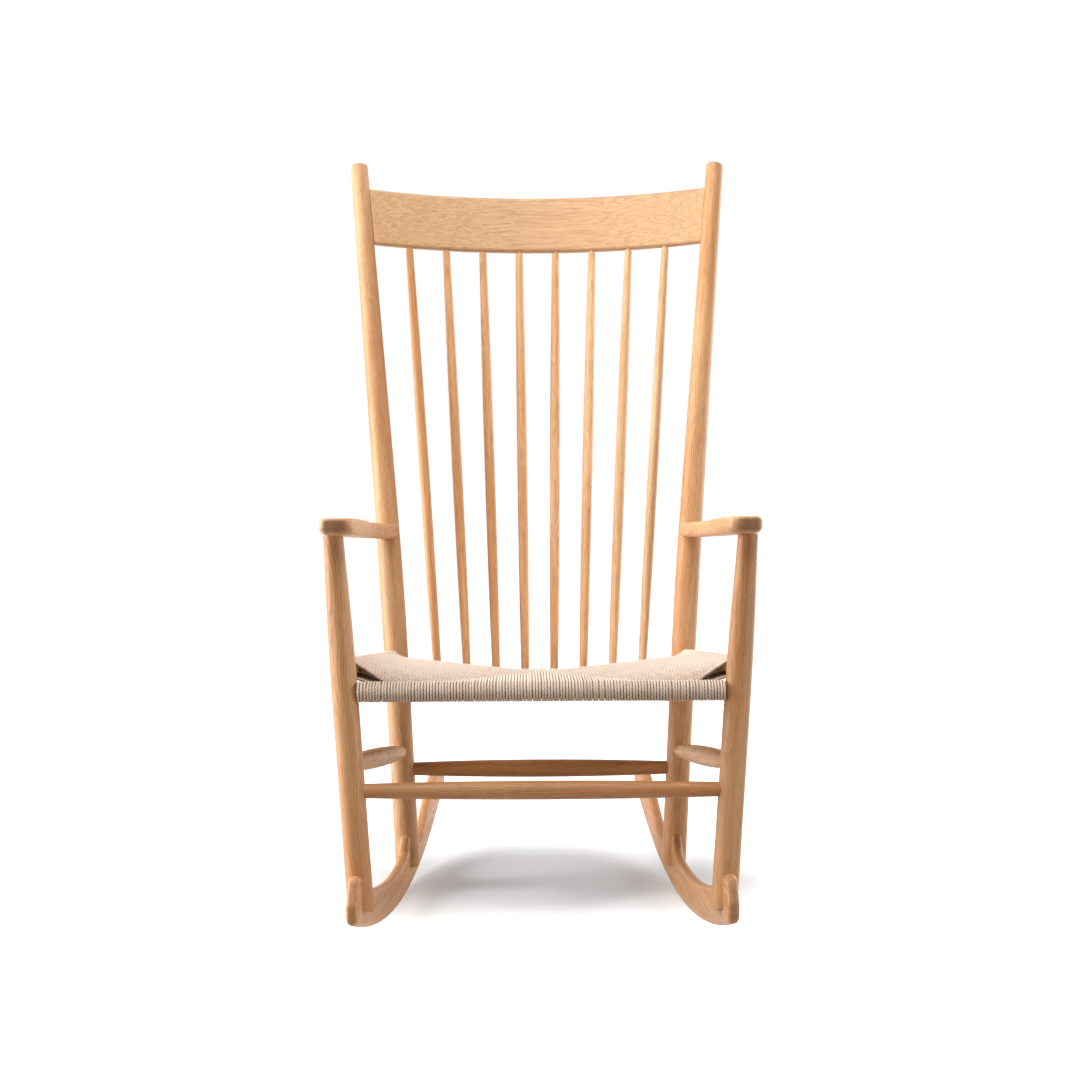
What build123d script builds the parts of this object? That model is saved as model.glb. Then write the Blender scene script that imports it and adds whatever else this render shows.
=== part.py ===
from build123d import *
import os
from math import asin, atan, cos, degrees, sin, sqrt

# Rocking chair with turned legs, curved runners, eight back spindles and a woven cord seat.
# Millimetres. +Z is up, the sitter looks along -Y, and the sitter's left is +X. The origin is on
# the floor, at mid-width and under the middle of the runners' length.

# Front legs: the axis starts at the floor and leans out and back with height
FRONT_SPREAD = 238.6  # half the distance between the two axes at the floor
FRONT_SPLAY = 0.0674  # outward for each mm of height
FRONT_FOOT_Y = -361.9
LEG_LEAN = 0.07  # backward for each mm of height, front legs and lower rear posts
LEG_DIAMETER = 35.5
LEG_TAPER_Z = 326.0  # the front leg is a plain cylinder up to here
LEG_SLIM_Z = 530.0  # the curved taper ends here and a straight one goes on to the top
LEG_SLIM_DIAMETER = 28.4
LEG_TOP_DIAMETER = 26.2

# Rear posts: straight from the foot to a bend above the seat, then straight to the top
REAR_SPREAD = 197.1
REAR_SPLAY = 0.0488
REAR_FOOT_Y = 54.3
POST_DIAMETER = 36.0
POST_BEND_Z = 454.5
POST_BEND_RUN = 160.0  # along the post, from the bend's middle to each of its ends
BACK_SPLAY = 0.0856
BACK_LEAN = 0.2867
POST_TOP_Z = 1077.5
POST_TOP_DIAMETER = 25.5
POST_TOP_ROUNDING = 4.0
POST_STEPS = 20  # even steps between the round sections that shape the post

# Runners: one vertical board under each side, turned in towards the rear
RUNNER_TAIL_Y = 419.0
RUNNER_THICKNESS = 16.0
RUNNER_CONTACT_Y = -41.5  # where the runner touches the floor at rest
RUNNER_FRONT_RADIUS = 1250.0
RUNNER_REAR_RADIUS = 1180.0
RUNNER_DEPTH = 50.0  # board height above the bottom edge
RUNNER_EDGE_ROUNDING = 6.5
RUNNER_LINE_Z = 81.0  # the runner follows the leg axes at this height
RUNNER_FRONT_OUT = 2.0  # runner axis outside the front leg's axis
RUNNER_REAR_IN = 1.0  # runner axis inside the rear post's axis
FRONT_HORN_DEPTH = 68.5  # board height where it stands up in front of the front leg
FRONT_HORN_REACH = 20.0  # board in front of the leg's surface, at the horn
NOSE_REACH = 20.4  # nose in front of the horn
REAR_HORN_DEPTH = 77.5  # board height inside the rear post
COVE_SHAPE = ((0, 1.5), (6, 9), (13, 20), (24, 28))  # before the post, below the rear horn
COVE_RUN = 40.0  # length of the cove that rises to the rear horn
TAIL_WAIST_DEPTH = 47.0  # board height behind the post
TAIL_LOIN_DEPTH = 48.5  # board height halfway along the tail
TAIL_TIP_DEPTH = 30.0  # height of the tail's sawn end
TAIL_TIP_SLANT = 25.0  # the sawn end leans forward by this much
NOSE_ROUNDING = 15.0
STEP_ROUNDING = 8.0  # of the step inside the front leg, up to the front horn
TAIL_ROUNDING = 13.0
FRONT_FOOT_RISE = 22.0  # the slotted feet end this far above the runner's bottom edge
REAR_FOOT_RISE = 29.5

# Arms
ARM_FRONT_Z = 587.3  # top of the arm over the front leg's axis
ARM_REAR_Z = 539.5  # top of the arm at the post's axis
ARM_THICKNESS = 22.5
ARM_OVERHANG = 44.0  # in front of the leg's axis
ARM_INNER_WIDTH = 34.7  # from the leg-to-post line to the inner edge, at the paddle
ARM_OUTER_WIDTH = 25.4  # from that line to the outer edge, at its widest
# along the arm as a share of its span, and that edge's distance as a share of its width
ARM_INNER_SHAPE = ((0.05, 1.0), (0.18, 0.88), (0.44, 0.52), (0.69, 0.15), (0.82, 0.27))
ARM_OUTER_SHAPE = ((0.82, 0.66), (0.62, 0.93), (0.39, 1.0), (0.16, 0.83))
ARM_NOSE_INNER_SHARE = 0.94
ARM_NOSE_OUTER_SHARE = 0.42
ARM_TENON_SHARE = 0.7  # of the arm's thickness that the leg's tenon enters
ARM_NOSE_INNER_ROUNDING = 20.0
ARM_NOSE_OUTER_ROUNDING = 12.0
ARM_TOP_ROUNDING = 6.0
ARM_BOTTOM_ROUNDING = 10.0
ARM_TENON_DIAMETER = 16.0

# Back: top rail, spindle rail and spindles
TOP_RAIL_Z = 999.5
TOP_RAIL_HEIGHT = 86.0
TOP_RAIL_THICKNESS = 15.0
TOP_RAIL_RADIUS = 670.0
TOP_RAIL_ROUNDING = 5.0
TOP_RAIL_TENON_HEIGHT = 70.0
SPINDLE_RAIL_Z = 285.5
SPINDLE_RAIL_HEIGHT = 21.0
SPINDLE_RAIL_THICKNESS = 20.0
SPINDLE_RAIL_RADIUS = 576.0
SPINDLE_RAIL_SET_BACK = 4.0  # behind the posts' axes
SPINDLE_RAIL_CHAMFER = 2.0
SPINDLE_RAIL_TENON_HEIGHT = 16.0
BOARD_TENON_THICKNESS = 9.0
SPINDLE_COUNT = 8
SPINDLE_TOP_PITCH = 56.1
SPINDLE_FOOT_PITCH = 43.4
SPINDLE_FOOT_DIAMETER = 11.6
SPINDLE_BELLY_DIAMETER = 15.4
SPINDLE_BELLY_AT = 0.43  # from the foot, as a share of the spindle
SPINDLE_TOP_DIAMETER = 11.0
SPINDLE_TENON_DIAMETER = 9.0

# Seat
FRONT_RAIL_Z = 356.5
BACK_RAIL_Z = 311.5
SIDE_RAIL_FRONT_Z = 388.0
SIDE_RAIL_REAR_Z = 339.5
SEAT_RAIL_HEIGHT = 19.0
SEAT_RAIL_WIDTH = 32.0
BACK_RAIL_WIDTH = 28.0
SEAT_TENON_DIAMETER = 14.0
CORD_DIAMETER = 4.0
FRONT_CORNER_WRAP = 48.0  # turns that only the front rail carries, at each end
SEAT_CENTRE_Y = -135.5
SEAT_CENTRE_Z = 353.5
SEAT_CENTRE_THICKNESS = 13.0

# Stretchers
FRONT_STRETCHER_Z = 224.0
FRONT_STRETCHER_END = 19.7
FRONT_STRETCHER_BELLY = 25.5
REAR_STRETCHER_Z = 176.5
REAR_STRETCHER_END = 19.4
REAR_STRETCHER_BELLY = 26.3
SIDE_STRETCHER_FRONT_Z = 260.7
SIDE_STRETCHER_REAR_Z = 201.5
SIDE_STRETCHER_END = 20.0
SIDE_STRETCHER_BELLY = 28.0
SIDE_STRETCHER_BELLY_AT = 0.42  # from the front leg, as a share of the stretcher

# Joinery
SOCKET_DEPTH = 23.0  # round rungs into legs and posts
BOARD_TENON_DEPTH = 18.0
FIT = 0.1  # round a tenon in its socket or a board in its slot
SOCKET_END_GAP = 0.5
SEAT_FIT = 0.3  # cord to wood
SHOULDER_GAP = 0.4  # a turned or shaped shoulder to the leg it meets
RAIL_SHOULDER_GAP = 1.4  # a seat rail's flat shoulder to the leaning leg


def on_line(foot_x, foot_y, splay, lean, z):
    """Point at height z on a straight leg axis that starts at the floor."""
    return Vector(foot_x + splay * z, foot_y + lean * z, z)


def leg_axis(z):
    """Left front leg's axis at height z."""
    return on_line(FRONT_SPREAD, FRONT_FOOT_Y, FRONT_SPLAY, LEG_LEAN, z)


def lower_post_axis(z):
    """Left rear post's axis below the bend."""
    return on_line(REAR_SPREAD, REAR_FOOT_Y, REAR_SPLAY, LEG_LEAN, z)


POST_BEND = lower_post_axis(POST_BEND_Z)
LOWER_POST = Vector(REAR_SPLAY, LEG_LEAN, 1).normalized()
UPPER_POST = Vector(BACK_SPLAY, BACK_LEAN, 1).normalized()


def post_axis(z):
    """Left rear post's axis at height z, through the rounded bend."""
    bend_low = POST_BEND - LOWER_POST * POST_BEND_RUN
    bend_high = POST_BEND + UPPER_POST * POST_BEND_RUN
    if z <= bend_low.Z:
        return lower_post_axis(z)
    if z >= bend_high.Z:
        return POST_BEND + UPPER_POST * ((z - POST_BEND_Z) / UPPER_POST.Z)
    share = (z - bend_low.Z) / (bend_high.Z - bend_low.Z)
    into = bend_low * (1 - share) ** 2
    middle = POST_BEND * (2 * share * (1 - share))
    out = bend_high * share**2
    curve = into + middle + out
    return Vector(curve.X, curve.Y, z)


def post_diameter(z):
    """The post is a plain cylinder up to the bend and tapers evenly above it."""
    share = max(0.0, (z - POST_BEND_Z) / (POST_TOP_Z - POST_BEND_Z))
    return POST_DIAMETER + (POST_TOP_DIAMETER - POST_DIAMETER) * share


def rod(start, end, diameter):
    """Plain round bar between two points."""
    along = end - start
    plane = Plane(origin=start, z_dir=along)
    return plane * Cylinder(diameter / 2, along.length, align=(Align.CENTER, Align.CENTER, Align.MIN))


def turned(start, end, foot_diameter, belly_diameter, top_diameter, belly_at, tenon_diameter, tenon):
    """Round bar that swells between two points to a belly, with plain tenons past both points."""
    length = (end - start).length
    foot = (foot_diameter / 2, 0)
    belly = (belly_diameter / 2, belly_at * length)
    top = (top_diameter / 2, length)
    side = [TangentArc(belly, foot, tangent=(0, -1)), TangentArc(belly, top, tangent=(0, 1))]
    above = [top, (tenon_diameter / 2, length), (tenon_diameter / 2, length + tenon), (0, length + tenon)]
    below = [(0, -tenon), (tenon_diameter / 2, -tenon), (tenon_diameter / 2, 0), foot]
    corners = [point for number, point in enumerate(above + below) if point != (above + below)[number - 1]]
    half = Plane.XZ * make_face([*side, Polyline(*corners)])
    return Plane(origin=start, z_dir=end - start) * revolve(half, Axis.Z)


def towards(start, end, distance):
    """Point at a distance from start on the line to end."""
    return start + (end - start).normalized() * distance


def mirrored(shape):
    """The right-hand twin of a left-hand piece."""
    return mirror(shape, about=Plane.YZ)


def across(point):
    """The same point on the other side of the chair."""
    return Vector(-point.X, point.Y, point.Z)


# --- runner ---------------------------------------------------------------------------------

RUNNER_AT_FRONT = leg_axis(RUNNER_LINE_Z) + Vector(RUNNER_FRONT_OUT, 0, 0)
RUNNER_AT_REAR = lower_post_axis(RUNNER_LINE_Z) - Vector(RUNNER_REAR_IN, 0, 0)
TOE_IN = (RUNNER_AT_FRONT.X - RUNNER_AT_REAR.X) / (RUNNER_AT_REAR.Y - RUNNER_AT_FRONT.Y)
RUNNER_DIRECTION = Vector(-TOE_IN, 1, 0).normalized()
RUNNER_X = RUNNER_AT_FRONT.X + TOE_IN * RUNNER_AT_FRONT.Y
RUNNER_PLANE = Plane(
    origin=(RUNNER_X, 0, 0),
    x_dir=RUNNER_DIRECTION,
    z_dir=RUNNER_DIRECTION.cross(Vector(0, 0, 1)),
)


def along_runner(y):
    """Distance along the runner's plane for a place y in the chair."""
    return y / RUNNER_DIRECTION.Y


def runner_bottom(run):
    """Height of the runner's bottom edge, two arcs that share the floor contact."""
    past = run - along_runner(RUNNER_CONTACT_Y)
    radius = RUNNER_REAR_RADIUS if past > 0 else RUNNER_FRONT_RADIUS
    return radius - sqrt(radius**2 - past**2)


RUNNER_TAIL = along_runner(RUNNER_TAIL_Y)
RUNNER_CONTACT = along_runner(RUNNER_CONTACT_Y)
FRONT_LEG_RUN = along_runner(RUNNER_AT_FRONT.Y)
REAR_POST_RUN = along_runner(RUNNER_AT_REAR.Y)
FRONT_HORN = FRONT_LEG_RUN - LEG_DIAMETER / 2 - FRONT_HORN_REACH
RUNNER_NOSE = FRONT_HORN - NOSE_REACH


def above_bottom(run, depth):
    """Point of the runner's side view at a height above its bottom edge."""
    return (run, runner_bottom(run) + depth)


HORN_FACE = above_bottom(FRONT_HORN, FRONT_HORN_DEPTH)
NOSE_FACE = above_bottom(RUNNER_NOSE, RUNNER_DEPTH / 2)
NOSE_FOOT = above_bottom(RUNNER_NOSE, 0)
STEP_TOP = above_bottom(FRONT_LEG_RUN, FRONT_HORN_DEPTH)
STEP_FOOT = above_bottom(FRONT_LEG_RUN, RUNNER_DEPTH)
TAIL_FOOT = above_bottom(RUNNER_TAIL, 0)
TAIL_TIP = (RUNNER_TAIL - TAIL_TIP_SLANT, runner_bottom(RUNNER_TAIL) + TAIL_TIP_DEPTH)


def runner_profile(grow, drop):
    """Side view of the runner, with its top edge lifted by grow and its bottom edge dropped."""
    before_post = REAR_POST_RUN - POST_DIAMETER / 2
    behind_post = REAR_POST_RUN + POST_DIAMETER / 2

    def bottom(run):
        return (run, runner_bottom(run) - drop)

    def lifted(point):
        return (point[0], point[1] + grow)

    tail_edge = [
        TAIL_TIP,
        above_bottom((TAIL_TIP[0] + behind_post) / 2, TAIL_LOIN_DEPTH),
        above_bottom(behind_post + POST_DIAMETER, TAIL_WAIST_DEPTH),
    ]
    horn = above_bottom(REAR_POST_RUN, REAR_HORN_DEPTH)
    cove = [(before_post - back, horn[1] - down) for back, down in COVE_SHAPE]
    belly = [
        above_bottom(before_post - COVE_RUN, RUNNER_DEPTH),
        above_bottom((RUNNER_CONTACT + FRONT_LEG_RUN) / 2, RUNNER_DEPTH),
        STEP_FOOT,
    ]
    front_arc = ThreePointArc(bottom(RUNNER_NOSE), bottom((RUNNER_NOSE + RUNNER_CONTACT) / 2), bottom(RUNNER_CONTACT))
    rear_arc = ThreePointArc(bottom(RUNNER_CONTACT), bottom((RUNNER_TAIL + RUNNER_CONTACT) / 2), bottom(RUNNER_TAIL))
    tail_end = Line(bottom(RUNNER_TAIL), lifted(TAIL_TIP))
    top = Spline(*[lifted(point) for point in [*tail_edge, horn, *cove, *belly]])
    front = Polyline(lifted(STEP_FOOT), lifted(STEP_TOP), lifted(HORN_FACE), NOSE_FACE, bottom(RUNNER_NOSE))
    return make_face([front_arc, rear_arc, tail_end, top, front])


def corner_near(face, run, height):
    """The corner of a profile nearest to a place in its plane."""
    return face.vertices().sort_by_distance((run, height, 0))[0]


def runner_board(grow, drop):
    """Board with rounded corners and edges, thicker all round by grow, its bottom dropped."""
    face = runner_profile(grow, drop)
    nose_foot = (NOSE_FOOT[0], NOSE_FOOT[1] - drop)
    tail_foot = (TAIL_FOOT[0], TAIL_FOOT[1] - drop)
    face = fillet([corner_near(face, *point) for point in (nose_foot, NOSE_FACE, HORN_FACE)], NOSE_ROUNDING)
    face = fillet([corner_near(face, *point) for point in (tail_foot, TAIL_TIP)], TAIL_ROUNDING)
    step_rounding = min(STEP_ROUNDING, 0.45 * (FRONT_HORN_DEPTH - RUNNER_DEPTH))
    face = fillet([corner_near(face, *point) for point in (STEP_FOOT, STEP_TOP)], step_rounding)
    board = extrude(face, RUNNER_THICKNESS / 2 + grow, both=True)
    edges = board.faces().filter_by(Axis.Z).edges()
    return RUNNER_PLANE * fillet(edges, RUNNER_EDGE_ROUNDING + grow)


def runner():
    return runner_board(0, 0)


def runner_slot():
    """What the slot in a leg's foot removes: the board with its fit, open below."""
    return runner_board(FIT, 4 * REAR_FOOT_RISE)


def below_foot(axis_point, rise):
    """What lies under the sawn end of a leg, parallel to the runner's bottom edge."""
    run = along_runner(axis_point.Y)
    past = run - along_runner(RUNNER_CONTACT_Y)
    radius = RUNNER_REAR_RADIUS if past > 0 else RUNNER_FRONT_RADIUS
    slope = asin(past / radius)
    place = RUNNER_PLANE * Location((run, runner_bottom(run) + rise, 0), (0, 0, degrees(slope)))
    reach = 3 * POST_DIAMETER
    return place * Box(2 * reach, reach, 2 * reach, align=(Align.CENTER, Align.MAX, Align.CENTER))


# --- round rungs and their sockets ------------------------------------------------------------


def rung_ends(start_axis, end_axis, start_diameter, end_diameter, depth):
    """Ends of a rung whose tenons go to a depth below the surfaces of two round legs."""
    start = towards(start_axis, end_axis, start_diameter / 2 - depth)
    end = towards(end_axis, start_axis, end_diameter / 2 - depth)
    return start, end


def socket(rung_start, rung_end, diameter):
    """Hole for the start of a rung, with its fit and the gap behind its end."""
    mouth = (rung_start + rung_end) * 0.5
    bottom = towards(rung_start, rung_end, -SOCKET_END_GAP)
    return rod(bottom, mouth, diameter + 2 * FIT)


FRONT_STRETCHER_AXIS = leg_axis(FRONT_STRETCHER_Z)
REAR_STRETCHER_AXIS = post_axis(REAR_STRETCHER_Z)
FRONT_STRETCHER_ENDS = rung_ends(
    FRONT_STRETCHER_AXIS, across(FRONT_STRETCHER_AXIS), LEG_DIAMETER, LEG_DIAMETER, SOCKET_DEPTH
)
REAR_STRETCHER_ENDS = rung_ends(
    REAR_STRETCHER_AXIS, across(REAR_STRETCHER_AXIS), POST_DIAMETER, POST_DIAMETER, SOCKET_DEPTH
)
SIDE_STRETCHER_ENDS = rung_ends(
    leg_axis(SIDE_STRETCHER_FRONT_Z),
    post_axis(SIDE_STRETCHER_REAR_Z),
    LEG_DIAMETER,
    POST_DIAMETER,
    SOCKET_DEPTH,
)


def stretcher(ends, end_diameter, belly_diameter, belly_at):
    """Rung with plain ends in the legs and a swelling between them."""
    start, end = ends
    low = towards(start, end, SOCKET_DEPTH)
    high = towards(end, start, SOCKET_DEPTH)
    return turned(low, high, end_diameter, belly_diameter, end_diameter, belly_at, end_diameter, SOCKET_DEPTH)


# --- seat rails ------------------------------------------------------------------------------

FRONT_RAIL_AXIS = leg_axis(FRONT_RAIL_Z)
BACK_RAIL_AXIS = post_axis(BACK_RAIL_Z)
SIDE_RAIL_FRONT = leg_axis(SIDE_RAIL_FRONT_Z)
SIDE_RAIL_REAR = post_axis(SIDE_RAIL_REAR_Z)
FRONT_RAIL_ENDS = rung_ends(
    FRONT_RAIL_AXIS, across(FRONT_RAIL_AXIS), LEG_DIAMETER, LEG_DIAMETER, SOCKET_DEPTH
)
BACK_RAIL_ENDS = rung_ends(
    BACK_RAIL_AXIS, across(BACK_RAIL_AXIS), POST_DIAMETER, POST_DIAMETER, SOCKET_DEPTH
)
SIDE_RAIL_ENDS = rung_ends(SIDE_RAIL_FRONT, SIDE_RAIL_REAR, LEG_DIAMETER, POST_DIAMETER, SOCKET_DEPTH)


def flat_bar(start, end, width, height):
    """Bar between two points with a section that is flat above and below and round at its sides."""
    along = end - start
    sideways = Vector(-along.Y, along.X, 0)
    section = Plane(origin=start, x_dir=sideways, z_dir=along) * SlotOverall(width, height)
    return extrude(section, along.length)


def seat_rail(ends, width):
    """Flat rail between the legs with round tenons into them."""
    start, end = ends
    shoulder = SOCKET_DEPTH + RAIL_SHOULDER_GAP
    body = flat_bar(towards(start, end, shoulder), towards(end, start, shoulder), width, SEAT_RAIL_HEIGHT)
    return body + rod(start, end, SEAT_TENON_DIAMETER)


# --- legs and posts --------------------------------------------------------------------------


ARM_AT_LEG = leg_axis(ARM_FRONT_Z - ARM_THICKNESS / 2)
ARM_AT_POST = post_axis(ARM_REAR_Z - ARM_THICKNESS / 2)
ARM_SPAN = (ARM_AT_POST - ARM_AT_LEG).length
ARM_DIRECTION = (ARM_AT_POST - ARM_AT_LEG).normalized()
ARM_PLANE = Plane(
    origin=ARM_AT_LEG,
    x_dir=ARM_DIRECTION,
    z_dir=ARM_DIRECTION.cross(Vector(-1, 0, 0)),
)


def leg_body(grow):
    """Left front leg as turned, from the floor to past the arm, thicker all round by grow."""
    foot = leg_axis(0)
    along = leg_axis(ARM_FRONT_Z) - foot
    stretch = along.length / ARM_FRONT_Z
    plain = (LEG_DIAMETER / 2 + grow, LEG_TAPER_Z * stretch)
    slim = (LEG_SLIM_DIAMETER / 2 + grow, LEG_SLIM_Z * stretch)
    top = (LEG_TOP_DIAMETER / 2 + grow, along.length)
    taper = TangentArc(plain, slim, tangent=(0, 1))
    corners = Polyline(slim, top, (0, top[1]), (0, 0), (plain[0], 0), plain)
    half = Plane.XZ * make_face([taper, corners])
    return Plane(origin=foot, z_dir=along) * revolve(half, Axis.Z)


def front_leg():
    leg = leg_body(0)
    # the shoulder under the arm, and the tenon that goes up into it
    above = ARM_PLANE * Location((0, 0, -ARM_THICKNESS / 2))
    reach = 4 * LEG_DIAMETER
    leg -= above * Box(reach, reach, reach, align=(Align.CENTER, Align.CENTER, Align.MIN))
    leg += arm_leg_tenon(0)
    leg -= below_foot(RUNNER_AT_FRONT, FRONT_FOOT_RISE)
    leg -= runner_slot()
    leg -= socket(*FRONT_STRETCHER_ENDS, FRONT_STRETCHER_END)
    leg -= socket(*SIDE_STRETCHER_ENDS, SIDE_STRETCHER_END)
    leg -= socket(*FRONT_RAIL_ENDS, SEAT_TENON_DIAMETER)
    leg -= socket(*SIDE_RAIL_ENDS, SEAT_TENON_DIAMETER)
    return leg


def arm_leg_tenon(grow):
    """Round tenon on top of the front leg, blind in the arm."""
    bottom = leg_axis(ARM_FRONT_Z - ARM_THICKNESS - LEG_DIAMETER / 2)
    top = leg_axis(ARM_FRONT_Z - ARM_THICKNESS * (1 - ARM_TENON_SHARE) + grow)
    return rod(bottom, top, ARM_TENON_DIAMETER + 2 * grow)


def post_section(z, grow):
    """Round section of the rear post, square to its axis."""
    along = post_axis(z + 1) - post_axis(z - 1)
    place = Plane(origin=post_axis(z), x_dir=(1, 0, 0), z_dir=along)
    return place * Circle(post_diameter(z) / 2 + grow)


def post_body(grow):
    """Left rear post as shaped, from the floor to its top, thicker all round by grow."""
    heights = [POST_TOP_Z * step / POST_STEPS for step in range(POST_STEPS + 1)]
    return loft([post_section(z, grow) for z in heights])


def rear_post():
    post = post_body(0)
    post = fillet(post.edges().sort_by(Axis.Z)[-1], POST_TOP_ROUNDING)
    post -= below_foot(RUNNER_AT_REAR, REAR_FOOT_RISE)
    post -= runner_slot()
    post -= socket(*REAR_STRETCHER_ENDS, REAR_STRETCHER_END)
    post -= socket(SIDE_STRETCHER_ENDS[1], SIDE_STRETCHER_ENDS[0], SIDE_STRETCHER_END)
    post -= socket(*BACK_RAIL_ENDS, SEAT_TENON_DIAMETER)
    post -= socket(SIDE_RAIL_ENDS[1], SIDE_RAIL_ENDS[0], SEAT_TENON_DIAMETER)
    post -= arm_post_tenon(FIT)
    post -= spindle_rail_tenons(FIT)
    post -= top_rail_tenons(FIT)
    return post


# --- arms ------------------------------------------------------------------------------------


def arm_post_tenon(grow):
    """Round tenon at the arm's rear end, blind in the post."""
    start = ARM_PLANE.from_local_coords(Vector(ARM_SPAN - 2 * ARM_TENON_DIAMETER, 0, 0))
    end = ARM_PLANE.from_local_coords(Vector(ARM_SPAN + ARM_TENON_DIAMETER / 2 + 5 * grow, 0, 0))
    return rod(start, end, ARM_TENON_DIAMETER + 2 * grow)


def arm_outline():
    """Plan of the left arm: x runs from the leg's axis to the post's axis, y is inward."""
    rear_half = post_diameter(ARM_REAR_Z) / 2
    rear = ARM_SPAN - rear_half / 2
    nose_inner = (-ARM_OVERHANG, ARM_NOSE_INNER_SHARE * ARM_INNER_WIDTH)
    nose_outer = (-ARM_OVERHANG, -ARM_NOSE_OUTER_SHARE * ARM_OUTER_WIDTH)
    inner_edge = [(along * ARM_SPAN, share * ARM_INNER_WIDTH) for along, share in ARM_INNER_SHAPE]
    outer_edge = [(along * ARM_SPAN, -share * ARM_OUTER_WIDTH) for along, share in ARM_OUTER_SHAPE]
    inner = Spline(nose_inner, *inner_edge, (rear, rear_half))
    back = Line((rear, rear_half), (rear, -rear_half))
    outer = Spline((rear, -rear_half), *outer_edge, nose_outer)
    return make_face([inner, back, outer, Line(nose_outer, nose_inner)])


def arm():
    face = arm_outline()
    inner_corner = corner_near(face, -ARM_OVERHANG, ARM_INNER_WIDTH)
    face = fillet(inner_corner, ARM_NOSE_INNER_ROUNDING)
    outer_corner = corner_near(face, -ARM_OVERHANG, -ARM_OUTER_WIDTH / 2)
    face = fillet(outer_corner, ARM_NOSE_OUTER_ROUNDING)
    board = extrude(face, ARM_THICKNESS / 2, both=True)
    for side, rounding in ((-1, ARM_TOP_ROUNDING), (0, ARM_BOTTOM_ROUNDING)):
        edges = board.faces().sort_by(Axis.Z)[side].edges()
        rear = edges.sort_by(Axis.X)[-1]
        board = fillet([edge for edge in edges if edge != rear], rounding)
    body = ARM_PLANE * board
    body -= post_body(SHOULDER_GAP)
    body += arm_post_tenon(0)
    body -= arm_leg_tenon(FIT)
    return body


# --- back ------------------------------------------------------------------------------------


def bowed_board(axis_point, radius, lean, half_span, thickness, height):
    """Board bowed backward between two posts, leaning by an angle, cut off at half_span."""
    chord_depth = sqrt(radius**2 - axis_point.X**2)
    back = Vector(0, cos(lean), -sin(lean))
    up = Vector(0, sin(lean), cos(lean))
    centre = Vector(0, axis_point.Y, axis_point.Z) - back * chord_depth
    half_angle = degrees(asin(half_span / radius))
    outer = CenterArc((0, 0), radius + thickness / 2, 90 - half_angle, 2 * half_angle)
    inner = CenterArc((0, 0), radius - thickness / 2, 90 - half_angle, 2 * half_angle)
    sides = [Line(outer @ 0, inner @ 0), Line(outer @ 1, inner @ 1)]
    board = extrude(make_face([outer, inner, *sides]), height / 2, both=True)
    return Plane(origin=centre, x_dir=(1, 0, 0), z_dir=up) * board


def long_edges(board):
    """The four bowed edges of a board."""
    return board.edges().sort_by(SortBy.LENGTH)[-4:]


BACK_ANGLE = atan(BACK_LEAN)
TOP_RAIL_AXIS = post_axis(TOP_RAIL_Z)
SPINDLE_RAIL_AXIS = post_axis(SPINDLE_RAIL_Z) + Vector(0, SPINDLE_RAIL_SET_BACK, 0)


def top_rail_tenons(grow):
    """The top rail's bare tenon board, from post to post."""
    reach = TOP_RAIL_AXIS.X - post_diameter(TOP_RAIL_Z) / 2 + BOARD_TENON_DEPTH + 5 * grow
    return bowed_board(
        TOP_RAIL_AXIS,
        TOP_RAIL_RADIUS,
        BACK_ANGLE,
        reach,
        BOARD_TENON_THICKNESS + 2 * grow,
        TOP_RAIL_TENON_HEIGHT + 2 * grow,
    )


def spindle_rail_tenons(grow):
    """The spindle rail's bare tenon board, from post to post."""
    reach = SPINDLE_RAIL_AXIS.X - POST_DIAMETER / 2 + BOARD_TENON_DEPTH + 5 * grow
    return bowed_board(
        SPINDLE_RAIL_AXIS,
        SPINDLE_RAIL_RADIUS,
        0,
        reach,
        BOARD_TENON_THICKNESS + 2 * grow,
        SPINDLE_RAIL_TENON_HEIGHT + 2 * grow,
    )


def top_rail():
    board = bowed_board(
        TOP_RAIL_AXIS,
        TOP_RAIL_RADIUS,
        BACK_ANGLE,
        TOP_RAIL_AXIS.X,
        TOP_RAIL_THICKNESS,
        TOP_RAIL_HEIGHT,
    )
    board = fillet(long_edges(board), TOP_RAIL_ROUNDING)
    board = between_posts(board, TOP_RAIL_Z - TOP_RAIL_HEIGHT, TOP_RAIL_Z + TOP_RAIL_HEIGHT)
    board += top_rail_tenons(0)
    for start, end in SPINDLE_AXES:
        board -= rod(spindle_top_end(start, end), start, SPINDLE_TENON_DIAMETER + 2 * FIT)
    return board


def spindle_rail():
    board = bowed_board(
        SPINDLE_RAIL_AXIS,
        SPINDLE_RAIL_RADIUS,
        0,
        SPINDLE_RAIL_AXIS.X,
        SPINDLE_RAIL_THICKNESS,
        SPINDLE_RAIL_HEIGHT,
    )
    board = chamfer(long_edges(board), SPINDLE_RAIL_CHAMFER)
    board = between_posts(board, SPINDLE_RAIL_Z / 2, SPINDLE_RAIL_Z + SPINDLE_RAIL_HEIGHT)
    board += spindle_rail_tenons(0)
    for start, end in SPINDLE_AXES:
        board -= rod(spindle_foot_end(start, end), end, SPINDLE_TENON_DIAMETER + 2 * FIT)
    return board


def between_posts(board, low, high):
    """Cuts a board's ends to the round of both posts, which run straight from height low to high."""
    start, end = post_axis(low), post_axis(high)
    foot = post_diameter(low) / 2 + SHOULDER_GAP
    top = post_diameter(high) / 2 + SHOULDER_GAP
    if foot > top:
        round_post = Cone(foot, top, (end - start).length, align=(Align.CENTER, Align.CENTER, Align.MIN))
        post = Plane(origin=start, z_dir=end - start) * round_post
    else:
        post = rod(start, end, 2 * foot)
    return board - post - mirrored(post)


def bow_point(axis_point, radius, lean, x):
    """Point at x on the middle line of a bowed board."""
    sag = sqrt(radius**2 - x**2) - sqrt(radius**2 - axis_point.X**2)
    return Vector(x, axis_point.Y + sag * cos(lean), axis_point.Z - sag * sin(lean))


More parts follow.
